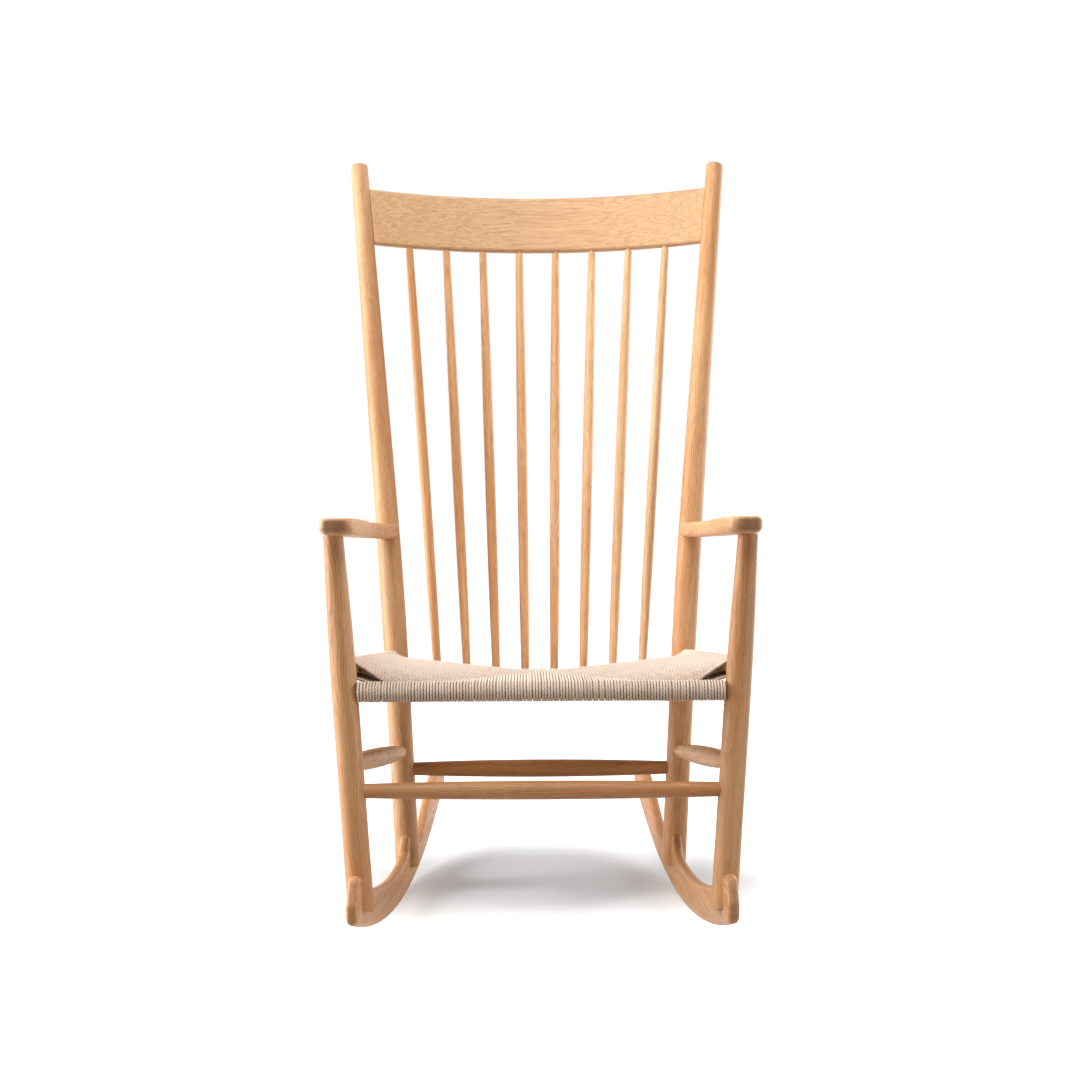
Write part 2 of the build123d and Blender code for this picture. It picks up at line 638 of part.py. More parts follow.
def spindle_axis(number):
    """Where one spindle's axis leaves the spindle rail and enters the top rail."""
    step = number - (SPINDLE_COUNT - 1) / 2
    foot = bow_point(SPINDLE_RAIL_AXIS, SPINDLE_RAIL_RADIUS, 0, step * SPINDLE_FOOT_PITCH)
    top = bow_point(TOP_RAIL_AXIS, TOP_RAIL_RADIUS, BACK_ANGLE, step * SPINDLE_TOP_PITCH)
    half_rail = Vector(0, sin(BACK_ANGLE), cos(BACK_ANGLE)) * (TOP_RAIL_HEIGHT / 2)
    foot += Vector(0, 0, SPINDLE_RAIL_HEIGHT / 2)
    return foot, top - half_rail


SPINDLE_AXES = [spindle_axis(number) for number in range(SPINDLE_COUNT)]


def spindle_top_end(start, end):
    """Bottom of the hole in the top rail."""
    return towards(end, start, -BOARD_TENON_DEPTH - SOCKET_END_GAP)


def spindle_foot_end(start, end):
    """Bottom of the hole in the spindle rail."""
    return towards(start, end, -BOARD_TENON_DEPTH - SOCKET_END_GAP)


def spindle(start, end):
    shoulder = SHOULDER_GAP + SPINDLE_FOOT_DIAMETER / 4
    return turned(
        towards(start, end, shoulder),
        towards(end, start, shoulder),
        SPINDLE_FOOT_DIAMETER,
        SPINDLE_BELLY_DIAMETER,
        SPINDLE_TOP_DIAMETER,
        SPINDLE_BELLY_AT,
        SPINDLE_TENON_DIAMETER,
        BOARD_TENON_DEPTH + shoulder,
    )


# --- woven seat ------------------------------------------------------------------------------


def wrap_sleeve(ends, width):
    """Cord wound round one rail, as a sleeve that stops at the legs."""
    start, end = ends
    shoulder = SOCKET_DEPTH + RAIL_SHOULDER_GAP
    first = towards(start, end, shoulder)
    last = towards(end, start, shoulder)
    return flat_bar(first, last, width + 2 * CORD_DIAMETER, SEAT_RAIL_HEIGHT + 2 * CORD_DIAMETER)


def rail_core(ends, width):
    """Room for the rail inside the cord."""
    start, end = ends
    return flat_bar(start, end, width + 2 * SEAT_FIT, SEAT_RAIL_HEIGHT + 2 * SEAT_FIT)


def seat_panel(first, last):
    """Three-cornered panel of cord from one rail to the middle of the seat."""
    half = SEAT_RAIL_HEIGHT / 2 + CORD_DIAMETER - 1
    middle = Vector(0, SEAT_CENTRE_Y, SEAT_CENTRE_Z - SEAT_CENTRE_THICKNESS / 2)
    corners = []
    for point, depth in ((first, half), (last, half), (middle, SEAT_CENTRE_THICKNESS / 2)):
        corners += [point + Vector(0, 0, depth), point - Vector(0, 0, depth)]
    return ConvexPolyhedron(corners)


def cord_seat():
    front_left = towards(FRONT_RAIL_ENDS[0], FRONT_RAIL_ENDS[1], SOCKET_DEPTH + FRONT_CORNER_WRAP)
    back_left = towards(BACK_RAIL_ENDS[0], BACK_RAIL_ENDS[1], SOCKET_DEPTH + CORD_DIAMETER)
    side_front = towards(*SIDE_RAIL_ENDS, SOCKET_DEPTH + CORD_DIAMETER)
    side_rear = towards(SIDE_RAIL_ENDS[1], SIDE_RAIL_ENDS[0], SOCKET_DEPTH + CORD_DIAMETER)
    seat = seat_panel(front_left, across(front_left))
    seat += seat_panel(back_left, across(back_left))
    left = side_panel(side_front, side_rear, front_left, back_left)
    seat += left
    seat += mirrored(left)
    side_sleeve = wrap_sleeve(SIDE_RAIL_ENDS, SEAT_RAIL_WIDTH)
    seat += wrap_sleeve(FRONT_RAIL_ENDS, SEAT_RAIL_WIDTH)
    seat += wrap_sleeve(BACK_RAIL_ENDS, BACK_RAIL_WIDTH)
    seat += side_sleeve
    seat += mirrored(side_sleeve)
    side_core = rail_core(SIDE_RAIL_ENDS, SEAT_RAIL_WIDTH)
    seat -= rail_core(FRONT_RAIL_ENDS, SEAT_RAIL_WIDTH)
    seat -= rail_core(BACK_RAIL_ENDS, BACK_RAIL_WIDTH)
    seat -= side_core
    seat -= mirrored(side_core)
    for leg in (leg_body(SEAT_FIT), post_body(SEAT_FIT)):
        seat -= leg
        seat -= mirrored(leg)
    return seat


def side_panel(side_front, side_rear, front_corner, back_corner):
    """Panel from a side rail to the seams that run from both corners to the middle."""
    half = SEAT_RAIL_HEIGHT / 2 + CORD_DIAMETER - 1
    middle = Vector(0, SEAT_CENTRE_Y, SEAT_CENTRE_Z - SEAT_CENTRE_THICKNESS / 2)
    front_half = []
    rear_half = []
    side_middle = (side_front + side_rear) * 0.5
    for point, depth in (
        (side_front, half),
        (front_corner, half),
        (side_middle, half),
        (middle, SEAT_CENTRE_THICKNESS / 2),
    ):
        front_half += [point + Vector(0, 0, depth), point - Vector(0, 0, depth)]
    for point, depth in (
        (side_rear, half),
        (back_corner, half),
        (side_middle, half),
        (middle, SEAT_CENTRE_THICKNESS / 2),
    ):
        rear_half += [point + Vector(0, 0, depth), point - Vector(0, 0, depth)]
    return ConvexPolyhedron(front_half) + ConvexPolyhedron(rear_half)


# --- all pieces ------------------------------------------------------------------------------

parts = {
    "front_leg_left": front_leg(),
    "rear_post_left": rear_post(),
    "runner_left": runner(),
    "arm_left": arm(),
    "seat_side_rail_left": seat_rail(SIDE_RAIL_ENDS, SEAT_RAIL_WIDTH),
    "side_stretcher_left": stretcher(
        SIDE_STRETCHER_ENDS, SIDE_STRETCHER_END, SIDE_STRETCHER_BELLY, SIDE_STRETCHER_BELLY_AT
    ),
}
for name in list(parts):
    parts[name.replace("_left", "_right")] = mirrored(parts[name])
parts["top_rail"] = top_rail()
parts["spindle_rail"] = spindle_rail()
for number, (start, end) in enumerate(SPINDLE_AXES, 1):
    parts[f"spindle_{number}"] = spindle(start, end)
parts["seat_front_rail"] = seat_rail(FRONT_RAIL_ENDS, SEAT_RAIL_WIDTH)
parts["seat_back_rail"] = seat_rail(BACK_RAIL_ENDS, BACK_RAIL_WIDTH)
parts["cord_seat"] = cord_seat()
parts["front_stretcher"] = stretcher(
    FRONT_STRETCHER_ENDS, FRONT_STRETCHER_END, FRONT_STRETCHER_BELLY, 0.5
)
parts["rear_stretcher"] = stretcher(REAR_STRETCHER_ENDS, REAR_STRETCHER_END, REAR_STRETCHER_BELLY, 0.5)

os.makedirs("parts", exist_ok=True)
for name, shape in parts.items():
    export_step(shape, f"parts/{name}.step")
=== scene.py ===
"""The looks of the rocking chair: oiled oak, a seat of twisted paper cord, a white studio."""

from math import cos, pi, radians, sin

import bpy
import numpy as np
from mathutils import Matrix, Vector


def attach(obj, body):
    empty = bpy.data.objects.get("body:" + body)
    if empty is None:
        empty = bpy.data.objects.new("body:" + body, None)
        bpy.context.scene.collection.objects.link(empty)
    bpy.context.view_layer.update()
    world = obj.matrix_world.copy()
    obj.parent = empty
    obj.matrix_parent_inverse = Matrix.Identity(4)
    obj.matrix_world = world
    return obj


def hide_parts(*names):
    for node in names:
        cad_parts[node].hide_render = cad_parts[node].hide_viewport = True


# Metres and degrees. +Z is up and the sitter looks along -Y.

# Camera
CAMERA_PLACE = (-0.0188, -3.8515, 0.9105)
CAMERA_YAW = -0.29  # towards +X when negative
CAMERA_PITCH = -5.71
CAMERA_ROLL = -0.264
SENSOR = 36.0
FOCAL_PIXELS = 2660.0
PICTURE_PIXELS = 1080.0

# Light
AIM = (0.0, -0.1, 0.5)  # every softbox looks here
AMBIENT = 0.10
FLOOR_COLOUR = (0.62, 0.64, 0.66, 1.0)
FLOOR_BOUNCE = (0.40, 0.36, 0.31, 1.0)  # its colour for the light it throws back at the chair
FLOOR_LIFT = 0.17  # the floor's own glow for the camera, at its least in the painted shadow under the chair
FLOOR_HALF = 8.0
# the glow stays low in an ellipse under the chair: a painted shadow round the cast one
SHADOW_MIDDLE = (0.0, 0.12, 0.0)
SHADOW_REACH = (0.50, 0.36, 1.0)
LIFT_RISE = (0.3, 1.05)  # where the glow rises until the floor is white, in shares of that reach

# Seat rails
RAIL_HEIGHT = 0.019
SEAT_RAIL_WIDTH = 0.032
BACK_RAIL_WIDTH = 0.028
RAIL_SHOULDER = 0.0222  # the rail's tenon in the leg, with its gap at the shoulder
END_FACE = 0.0005  # points this close to a bar's end belong to its end face

# Seat cord
CORD_RADIUS = 0.0020
CORD_GIRTHS = (0.97, 1.02)  # from the thinnest to the thickest strand, as shares of the radius
CORD_GROOVE = 0.25  # how deep the three plies part, as a share of the radius
CORD_TWIST = 0.015  # length of one full turn of the plies
CORD_STEP = 0.0015
CORD_SIDES = 9
CORD_JITTER = 0.00022
PLY_SHADE = 0.6  # how dark the painted shade in the groove between two plies is, against the darkest
FLANK_START = 0.70  # painted shade on the flanks that face the next strand starts at this share of the radius
FLANK_SPAN = 0.25  # and is darkest this much further out
CROSSING_STEP = 0.0045  # coarser, because these strands hardly show
CROSSINGS_LEFT_OUT = 4  # at each corner, where they would rise through the top layer
WRAPS_PER_HALF = 49  # strands from a corner to the middle of the seat, on each rail
CORNER_WRAPS = 12  # turns that only the front rail carries, at each end
SEAT_MIDDLE_Y = -0.135
SEAT_MIDDLE_TOP = 0.3515
SEAT_MIDDLE_BOTTOM = 0.3425
SEAM_SETBACK = 0.020  # from a rail's axis to where the corner seam starts
SEAM_FRONT_DROP = 0.009  # below the rail's top layer
SEAM_REAR_DROP = 0.006
SEAM_DIVE = ((0.003, 0.0055), (0.0015, 0.001), (-0.004, 0.0))  # (past the seam, into the seat)

random = np.random.default_rng(7)


# --- small helpers ----------------------------------------------------------------------------


def linear(red, green, blue):
    """An sRGB colour from 0 to 255 as the linear colour that shaders take."""
    values = [value / 255 for value in (red, green, blue)]
    shades = [v / 12.92 if v <= 0.04045 else ((v + 0.055) / 1.055) ** 2.4 for v in values]
    return (*shades, 1.0)


def add(tree, kind, inputs=None, **settings):
    """A new shader node with its settings, its values and its links."""
    node = tree.nodes.new(kind)
    for name, value in settings.items():
        setattr(node, name, value)
    for name, value in (inputs or {}).items():
        if isinstance(value, bpy.types.NodeSocket):
            tree.links.new(value, node.inputs[name])
        else:
            node.inputs[name].default_value = value
    return node


def maths(tree, operation, first, second=0.0, third=0.0):
    node = add(tree, "ShaderNodeMath", {0: first, 1: second, 2: third}, operation=operation)
    return node.outputs[0]


def vector_maths(tree, operation, first, second=(0, 0, 0), output="Vector"):
    node = add(tree, "ShaderNodeVectorMath", {0: first, 1: second}, operation=operation)
    return node.outputs[output]


def between(tree, value, low, high, out_low=0.0, out_high=1.0):
    """A smooth step from out_low at low to out_high at high."""
    inputs = {
        "Value": value,
        "From Min": low,
        "From Max": high,
        "To Min": out_low,
        "To Max": out_high,
    }
    node = add(tree, "ShaderNodeMapRange", inputs, interpolation_type="SMOOTHSTEP")
    return node.outputs["Result"]


def noise(tree, vector, stretch, detail=2.0, output="Fac"):
    scaled = vector_maths(tree, "MULTIPLY", vector, stretch)
    inputs = {"Vector": scaled, "Scale": 1.0, "Detail": detail, "Roughness": 0.55}
    return add(tree, "ShaderNodeTexNoise", inputs).outputs[output]


def blend(tree, factor, first, second, mode="MIX"):
    node = add(tree, "ShaderNodeMix", {0: factor}, data_type="RGBA", blend_type=mode)
    for socket, value in ((node.inputs[6], first), (node.inputs[7], second)):
        if isinstance(value, bpy.types.NodeSocket):
            tree.links.new(value, socket)
        else:
            socket.default_value = value
    return node.outputs[2]


def new_material(name):
    material = bpy.data.materials.new(name)
    material.use_nodes = True
    material.node_tree.nodes.clear()
    return material, material.node_tree


def points_of(obj):
    points = np.zeros(len(obj.data.vertices) * 3, np.float32)
    obj.data.vertices.foreach_get("co", points)
    return points.reshape(-1, 3).astype(float)


def long_axis(obj):
    """Middle and direction of the longest way through a piece."""
    points = points_of(obj)
    middle = (points.max(0) + points.min(0)) / 2
    spread = points - points.mean(0)
    direction = np.linalg.eigh(spread.T @ spread)[1][:, -1]
    if direction[np.argmax(np.abs(direction))] < 0:
        direction = -direction
    return Vector(middle), Vector(direction)


def bar_ends(obj):
    """The middles of a straight bar's two end faces."""
    points = points_of(obj)
    middle, direction = long_axis(obj)
    along = (points - np.array(middle)) @ np.array(direction)
    first = points[along < along.min() + END_FACE].mean(0)
    last = points[along > along.max() - END_FACE].mean(0)
    return first, last


# --- oak ----------------------------------------------------------------------------------------

OAK_LIGHT = linear(233, 190, 144)
OAK_MIDDLE = linear(219, 168, 118)
OAK_DARK = linear(178, 122, 74)
OAK_PORE = linear(122, 78, 44)
OAK_RAY = linear(240, 205, 166)
OAK_END = linear(104, 64, 34)


def oak_material(
    name,
    obj,
    pith,
    ring,
    tone=1.0,
    warmth=0.0,
    rays=0.5,
    ends=0.8,
    figure=1.0,
    dashes=(130, 130, 3),
    phase=0.0,
):
    """Solid oak whose grain follows the piece. pith is where the tree's centre lies, square to the
    grain, and ring the width of a year's growth. tone and warmth tint the piece. rays, ends and
    figure say how strong the pale rays, the dark sawn ends and the rings are. dashes is how often
    the dark streaks change across and along the grain, and phase moves the grain along."""
    middle, grain = long_axis(obj)
    side = Vector((0, 0, 1)) if abs(grain.z) < 0.7 else Vector((0, -1, 0))
    across = side.cross(grain).normalized()
    turn = Matrix((across, grain.cross(across), grain)).transposed()
    material, tree = new_material(name)
    place = add(tree, "ShaderNodeTexCoord")
    inputs = {"Vector": place.outputs["Object"], "Location": middle, "Rotation": turn.to_euler()}
    local = add(tree, "ShaderNodeMapping", inputs, vector_type="TEXTURE").outputs["Vector"]
    local = vector_maths(tree, "ADD", local, (0, 0, phase))

    # growth rings round the pith, bent by slow waves along the grain
    wave = noise(tree, local, (11, 11, 6.5), 1.5, "Color")
    wave = vector_maths(tree, "SUBTRACT", wave, (0.5, 0.5, 0.5))
    wave = vector_maths(tree, "MULTIPLY", wave, (0.02, 0.02, 0))
    bent = vector_maths(tree, "ADD", local, wave)
    from_pith = vector_maths(tree, "SUBTRACT", bent, (*pith, 0))
    flat = vector_maths(tree, "MULTIPLY", from_pith, (1, 1, 0))
    radius = vector_maths(tree, "LENGTH", flat, output="Value")
    year = maths(tree, "DIVIDE", radius, ring)
    uneven = maths(tree, "MULTIPLY", noise(tree, bent, (60, 60, 3), 1.0), 1.6)
    season = maths(tree, "FRACT", maths(tree, "ADD", year, uneven))
    fading = between(tree, season, 0.0, 0.55, 1, 0)
    rising = between(tree, season, 0.86, 1.0)
    early = maths(tree, "MAXIMUM", fading, rising)
    strong = between(tree, noise(tree, local, (20, 20, 2), 1.0), 0.3, 0.7, 0.25, 1.0)
    early = maths(tree, "MULTIPLY", early, strong)

    # fibre, open pores in the early wood, and pale rays that stand square to the rings
    fibre = noise(tree, bent, (420, 420, 9), 3.0)
    streak = noise(tree, bent, dashes, 2.0)
    pores = between(tree, noise(tree, bent, (1100, 1100, 42), 1.0), 0.56, 0.68)
    pores = maths(tree, "MULTIPLY", pores, maths(tree, "MULTIPLY_ADD", early, 0.75, 0.25))
    parts = add(tree, "ShaderNodeSeparateXYZ", {0: from_pith})
    angle = maths(tree, "ARCTAN2", parts.outputs[1], parts.outputs[0])
    fan = add(tree, "ShaderNodeCombineXYZ", {0: angle, 1: radius, 2: parts.outputs[2]}).outputs[0]
    ray = between(tree, noise(tree, fan, (70, 95, 55), 1.5), 0.60, 0.70)

    streaks = maths(tree, "MULTIPLY", between(tree, streak, 0.35, 0.7), 0.30)
    fibres = maths(tree, "MULTIPLY", between(tree, fibre, 0.3, 0.75), 0.26)
    dark = maths(tree, "MULTIPLY_ADD", early, 0.42 * figure, streaks)
    dark = maths(tree, "ADD", dark, fibres)
    cloud = between(tree, noise(tree, local, (14, 14, 2.2), 1.0), 0.35, 0.65, 0, figure)
    colour = blend(tree, cloud, OAK_LIGHT, OAK_MIDDLE)
    colour = blend(tree, dark, colour, OAK_DARK)
    colour = blend(tree, maths(tree, "MULTIPLY", ray, rays), colour, OAK_RAY)
    colour = blend(tree, maths(tree, "MULTIPLY", pores, 0.62), colour, OAK_PORE)

    # sawn ends drink the oil and darken
    facing = vector_maths(tree, "DOT_PRODUCT", place.outputs["Normal"], grain, "Value")
    facing = maths(tree, "ABSOLUTE", facing)
    patchy = maths(tree, "MULTIPLY", noise(tree, local, (38, 38, 38), 2.0), 0.7)
    facing = maths(tree, "ADD", facing, patchy)
    end = between(tree, facing, 0.9, 1.4, 0, ends)
    colour = blend(tree, end, colour, OAK_END)
    # the tint also holds painted shade and light, through the tones and warmths given in
    # dress_in_oak
    tint = (tone * (1 + warmth), tone, tone * (1 - warmth), 1)
    colour = blend(tree, 1.0, colour, tint, "MULTIPLY")

    height = maths(tree, "MULTIPLY_ADD", pores, -1.0, maths(tree, "MULTIPLY", fibre, 0.35))
    height = maths(tree, "MULTIPLY_ADD", early, -0.25, height)
    bump = add(tree, "ShaderNodeBump", {"Height": height, "Strength": 0.35, "Distance": 0.0004})
    rough = maths(tree, "MULTIPLY_ADD", pores, 0.22, maths(tree, "MULTIPLY_ADD", fibre, 0.16, 0.42))
    inputs = {
        "Base Color": colour,
        "Roughness": rough,
        "Specular IOR Level": 0.42,
        "Normal": bump.outputs[0],
    }
    shader = add(tree, "ShaderNodeBsdfPrincipled", inputs)
    add(tree, "ShaderNodeOutputMaterial", {"Surface": shader.outputs[0]})
    return material


def dress_in_oak(nodes):
    """Gives every wooden node its own board: where its pith lay, and how pale it is, a paleness
    that also holds painted shade and light.
    """
    # painted shade: the front legs under the arms, the runners and the stretchers under the seat
    # are darker and warmer than their wood alone
    looks = {
        "front_leg_left": dict(
            pith=(0.030, 0.034), ring=0.0030, tone=0.65, warmth=0.17, rays=0.3, phase=1.3
        ),
        "front_leg_right": dict(
            pith=(0.036, 0.030), ring=0.0030, tone=0.73, warmth=0.13, rays=0.3, phase=4.1
        ),
        "rear_post_left": dict(
            pith=(-0.05, 0.03), ring=0.0026, tone=0.82, warmth=0.13, rays=0.2, phase=2.2
        ),
        "rear_post_right": dict(
            pith=(0.05, 0.04), ring=0.0026, tone=0.77, warmth=0.08, rays=0.2, phase=7.5
        ),
        "runner_left": dict(
            pith=(0.12, 0.03), ring=0.0034, tone=0.63, warmth=0.18, rays=0.2, ends=0.3, phase=3.7
        ),
        "runner_right": dict(
            pith=(-0.12, 0.03), ring=0.0034, tone=0.74, warmth=0.18, rays=0.2, ends=0.3, phase=8.9
        ),
        "arm_left": dict(
            pith=(0.06, 0.05), ring=0.0028, tone=0.95, warmth=0.03, rays=0.3, phase=0.4
        ),
        "arm_right": dict(
            pith=(-0.06, 0.05), ring=0.0028, tone=0.95, warmth=0.03, rays=0.3, phase=6.2
        ),
        "top_rail": dict(
            pith=(0.0, 0.16),
            ring=0.0030,
            tone=0.93,
            warmth=0.01,
            rays=0.1,
            figure=0.25,
            dashes=(340, 340, 5),
            phase=5.5,
        ),
        "spindle_rail": dict(
            pith=(0.05, 0.05), ring=0.0028, tone=0.92, warmth=0.06, phase=9.1
        ),
        "front_stretcher": dict(
            pith=(0.03, 0.05), ring=0.0028, tone=0.62, warmth=0.22, rays=0.45, phase=2.9
        ),
        "rear_stretcher": dict(
            pith=(0.04, -0.05), ring=0.0028, tone=0.50, warmth=0.30, rays=0.3, phase=5.1
        ),
        "side_stretcher_left": dict(
            pith=(0.05, 0.03), ring=0.0028, tone=0.92, warmth=0.04, rays=0.2, phase=6.6
        ),
        "side_stretcher_right": dict(
            pith=(-0.05, 0.03), ring=0.0028, tone=0.92, warmth=0.04, rays=0.2, phase=1.9
        ),
        "seat_front_rail": dict(pith=(0.04, 0.05), ring=0.0030, phase=3.3),
        "seat_back_rail": dict(pith=(0.04, 0.05), ring=0.0030, phase=4.4),
        "seat_side_rail_left": dict(pith=(0.04, 0.05), ring=0.0030, phase=5.7),
        "seat_side_rail_right": dict(pith=(0.04, 0.05), ring=0.0030, phase=6.8),
    }
    # painted light: the spindles grow paler and cooler towards the right, where the light falls on
    # their fronts
    for number in range(1, 9):
        turn = number * 2.4
        looks[f"spindle_{number}"] = dict(
            pith=(0.045 * cos(turn), 0.045 * sin(turn)),
            ring=0.0026,
            tone=min(1.2, 0.74 + 0.072 * number),
            warmth=0.19 - 0.035 * number,
            rays=0.3,
            phase=number * 1.31,
        )
    for name, look in looks.items():
        obj = nodes[name]
        obj.data.materials.clear()
        obj.data.materials.append(oak_material(f"oak_{name}", obj, **look))


# --- the cord seat ------------------------------------------------------------------------------


CORD_PALE = linear(254, 240, 225)
CORD_TAN = linear(241, 215, 190)
CORD_SHADOW = linear(122, 76, 44)


def cord_material():
    """Twisted kraft paper: fine creases, blotches, strands a little lighter or darker, and painted
    shade in the grooves between plies and on the flanks between strands.
    """
    material, tree = new_material("paper_cord")
    place = add(tree, "ShaderNodeTexCoord").outputs["Object"]
    strand = add(tree, "ShaderNodeAttribute", attribute_name="strand_tone").outputs["Fac"]
    painted_gap_shade = add(tree, "ShaderNodeAttribute", attribute_name="painted_gap_shade").outputs["Fac"]
    crease = noise(tree, place, (900, 900, 900), 3.0)
    blotch = noise(tree, place, (45, 45, 45), 2.0)
    creases = maths(tree, "MULTIPLY", crease, 0.35)
    blotches = maths(tree, "MULTIPLY", blotch, 0.35)
    shade = maths(tree, "ADD", creases, blotches)
    shade = maths(tree, "ADD", shade, maths(tree, "MULTIPLY", strand, 0.25))
    colour = blend(tree, between(tree, shade, 0.25, 0.9), CORD_PALE, CORD_TAN)
    # painted shade: the grooves between plies and the flanks beside the next strand take the dark
    # shadow colour
    colour = blend(tree, maths(tree, "MULTIPLY", painted_gap_shade, 0.8), colour, CORD_SHADOW)
    bump = add(tree, "ShaderNodeBump", {"Height": crease, "Strength": 0.4, "Distance": 0.0003})
    inputs = {
        "Base Color": colour,
        "Roughness": 0.78,
        "Specular IOR Level": 0.22,
        "Normal": bump.outputs[0],
    }
    shader = add(tree, "ShaderNodeBsdfPrincipled", inputs)
    add(tree, "ShaderNodeOutputMaterial", {"Surface": shader.outputs[0]})
    return material


def rounded(points, times=2):
    """Corner cutting, which turns a few corners into a smooth run of cord."""
    for _ in range(times):
        near = points[:-1] * 0.75 + points[1:] * 0.25
        far = points[:-1] * 0.25 + points[1:] * 0.75
        inner = np.stack([near, far], 1).reshape(-1, 3)
        points = np.vstack([points[:1], inner[1:-1], points[-1:]])
    return points


def evenly(points, step, closed=False):
    """The same route with its points a step apart."""
    gaps = np.linalg.norm(np.diff(points, axis=0), axis=1)
    travel = np.concatenate([[0], np.cumsum(gaps)])
    count = max(3, int(round(travel[-1] / step)) + 1)
    places = np.linspace(0, travel[-1], count)
    if closed:
        places = places[:-1]
    return np.stack([np.interp(places, travel, points[:, axis]) for axis in range(3)], 1)


class Rail:
    """A seat rail as the cord sees it: its axis between the shoulders and its flat section."""

    def __init__(self, obj, width):
        first, last = bar_ends(obj)
        unit = (last - first) / np.linalg.norm(last - first)
        self.start = first + unit * RAIL_SHOULDER
        self.end = last - unit * RAIL_SHOULDER
        self.height = RAIL_HEIGHT / 2 + CORD_RADIUS
        self.flat = (width - RAIL_HEIGHT) / 2

    def at(self, share):
        return self.start + (self.end - self.start) * share


def strand_route(rail, place, seam_top, seam_bottom):
    """One strand: up from the seam, over the rail, round its outside and back to the seam below."""
    outward = place - seam_top
    outward[2] = 0
    reach = np.linalg.norm(outward)
    outward /= reach
    up = np.array([0, 0, 1.0])

    def at(inward, height):
        return np.array([place[0], place[1], 0]) - outward * inward + up * height

    h, w = rail.height, rail.flat
    turn = [at(-w - h * sin(a), place[2] + h * cos(a)) for a in np.linspace(0, pi, 13)]
    route = [
        *(at(reach + past, seam_top[2] - depth) for past, depth in SEAM_DIVE),
        at(w, place[2] + h),
        *turn,
        at(w, place[2] - h),
        *(at(reach + past, seam_bottom[2] + depth) for past, depth in reversed(SEAM_DIVE)),
    ]
    return rounded(np.array(route)), np.cross(outward, up)


def loop_route(rail, place, inward):
    """A turn that only goes round the rail."""
    outward = -inward
    up = np.array([0, 0, 1.0])
    h, w = rail.height, rail.flat
    angles = np.linspace(0, 2 * pi, 41)
    route = [
        place + outward * (h * sin(a) + (w if sin(a) >= 0 else -w)) + up * h * cos(a)
        for a in angles
    ]
    return np.array(route), np.cross(outward, up)


def twisted(route, normal, closed, tone, step=CORD_STEP):
    """Points, faces and shading values of one strand of three-ply cord along a route; the shade is
    painted into the grooves and onto the flanks.
    """
    points = evenly(route, step, closed)
    count = len(points)
    if closed:
        ahead, behind = np.roll(points, -1, 0), np.roll(points, 1, 0)
    else:
        ahead = np.vstack([points[1:], points[-1:]])
        behind = np.vstack([points[:1], points[:-1]])
    tangent = ahead - behind
    tangent /= np.linalg.norm(tangent, axis=1)[:, None]
    side = np.tile(normal, (count, 1))
    out = np.cross(side, tangent)
    out /= np.linalg.norm(out, axis=1)[:, None]
    length = count * step
    turns = max(1, round(length / CORD_TWIST)) if closed else length / CORD_TWIST
    spin = random.uniform(0, 2 * pi) - 2 * pi * turns * np.arange(count) / count
    ply = np.arange(CORD_SIDES) * 2 * pi / CORD_SIDES
    depth = (1 - np.cos(3 * ply)) / 2
    girth = CORD_RADIUS * random.uniform(*CORD_GIRTHS)
    radius = girth * (1 - CORD_GROOVE * depth)
    angle = spin[:, None] + ply[None, :]
    ring = out[:, None] * np.cos(angle)[..., None] + side[:, None] * np.sin(angle)[..., None]
    verts = (points[:, None] + ring * radius[None, :, None]).reshape(-1, 3)
    rows = count if closed else count - 1
    k = np.arange(rows)[:, None]
    j = np.arange(CORD_SIDES)[None, :]
    row, next_row = k * CORD_SIDES, (k + 1) % count * CORD_SIDES
    j_next = (j + 1) % CORD_SIDES
    quads = [row + j, row + j_next, next_row + j_next, next_row + j]
    faces = np.stack(np.broadcast_arrays(*quads), -1).reshape(-1, 4)
    # painted shade on the flanks beside the next strand and in the grooves between the plies
    flank = np.clip((np.abs(np.sin(angle)) - FLANK_START) / FLANK_SPAN, 0, 1)
    shade = np.maximum(PLY_SHADE * depth[None, :], flank).ravel()
    return verts, faces, np.full(len(verts), tone), shade


def cord_piece(name, strands, material, step=CORD_STEP):
    """One mesh of many strands, each given as (route, normal of its plane, whether it closes)."""
    verts, faces, tones, painted_gap_shades, total = [], [], [], [], 0
    for route, normal, closed in strands:
        v, f, t, g = twisted(route, normal, closed, random.uniform(0, 1), step)
        verts.append(v)
        faces.append(f + total)
        tones.append(t)
        painted_gap_shades.append(g)
        total += len(v)
    verts, faces = np.vstack(verts), np.vstack(faces)
    mesh = bpy.data.meshes.new(name)
    mesh.vertices.add(len(verts))
    mesh.vertices.foreach_set("co", verts.astype(np.float32).ravel())
    mesh.loops.add(faces.size)
    mesh.loops.foreach_set("vertex_index", faces.astype(np.int32).ravel())
    mesh.polygons.add(len(faces))
    mesh.polygons.foreach_set("loop_start", np.arange(0, faces.size, 4, dtype=np.int32))
    mesh.update(calc_edges=True)
    mesh.validate()
    mesh.shade_smooth()
    for label, values in (("strand_tone", tones), ("painted_gap_shade", painted_gap_shades)):
        layer = mesh.attributes.new(label, "FLOAT", "POINT")
        layer.data.foreach_set("value", np.concatenate(values).astype(np.float32))
    mesh.materials.append(material)
    piece = bpy.data.objects.new(name, mesh)
    bpy.context.scene.collection.objects.link(piece)
    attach(piece, "root")
    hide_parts("cord_seat")
    return piece


def seam(corner, middle, share):
    return corner + (middle - corner) * share


def jitter(point, along):
    return point + along * random.normal(0, CORD_JITTER)


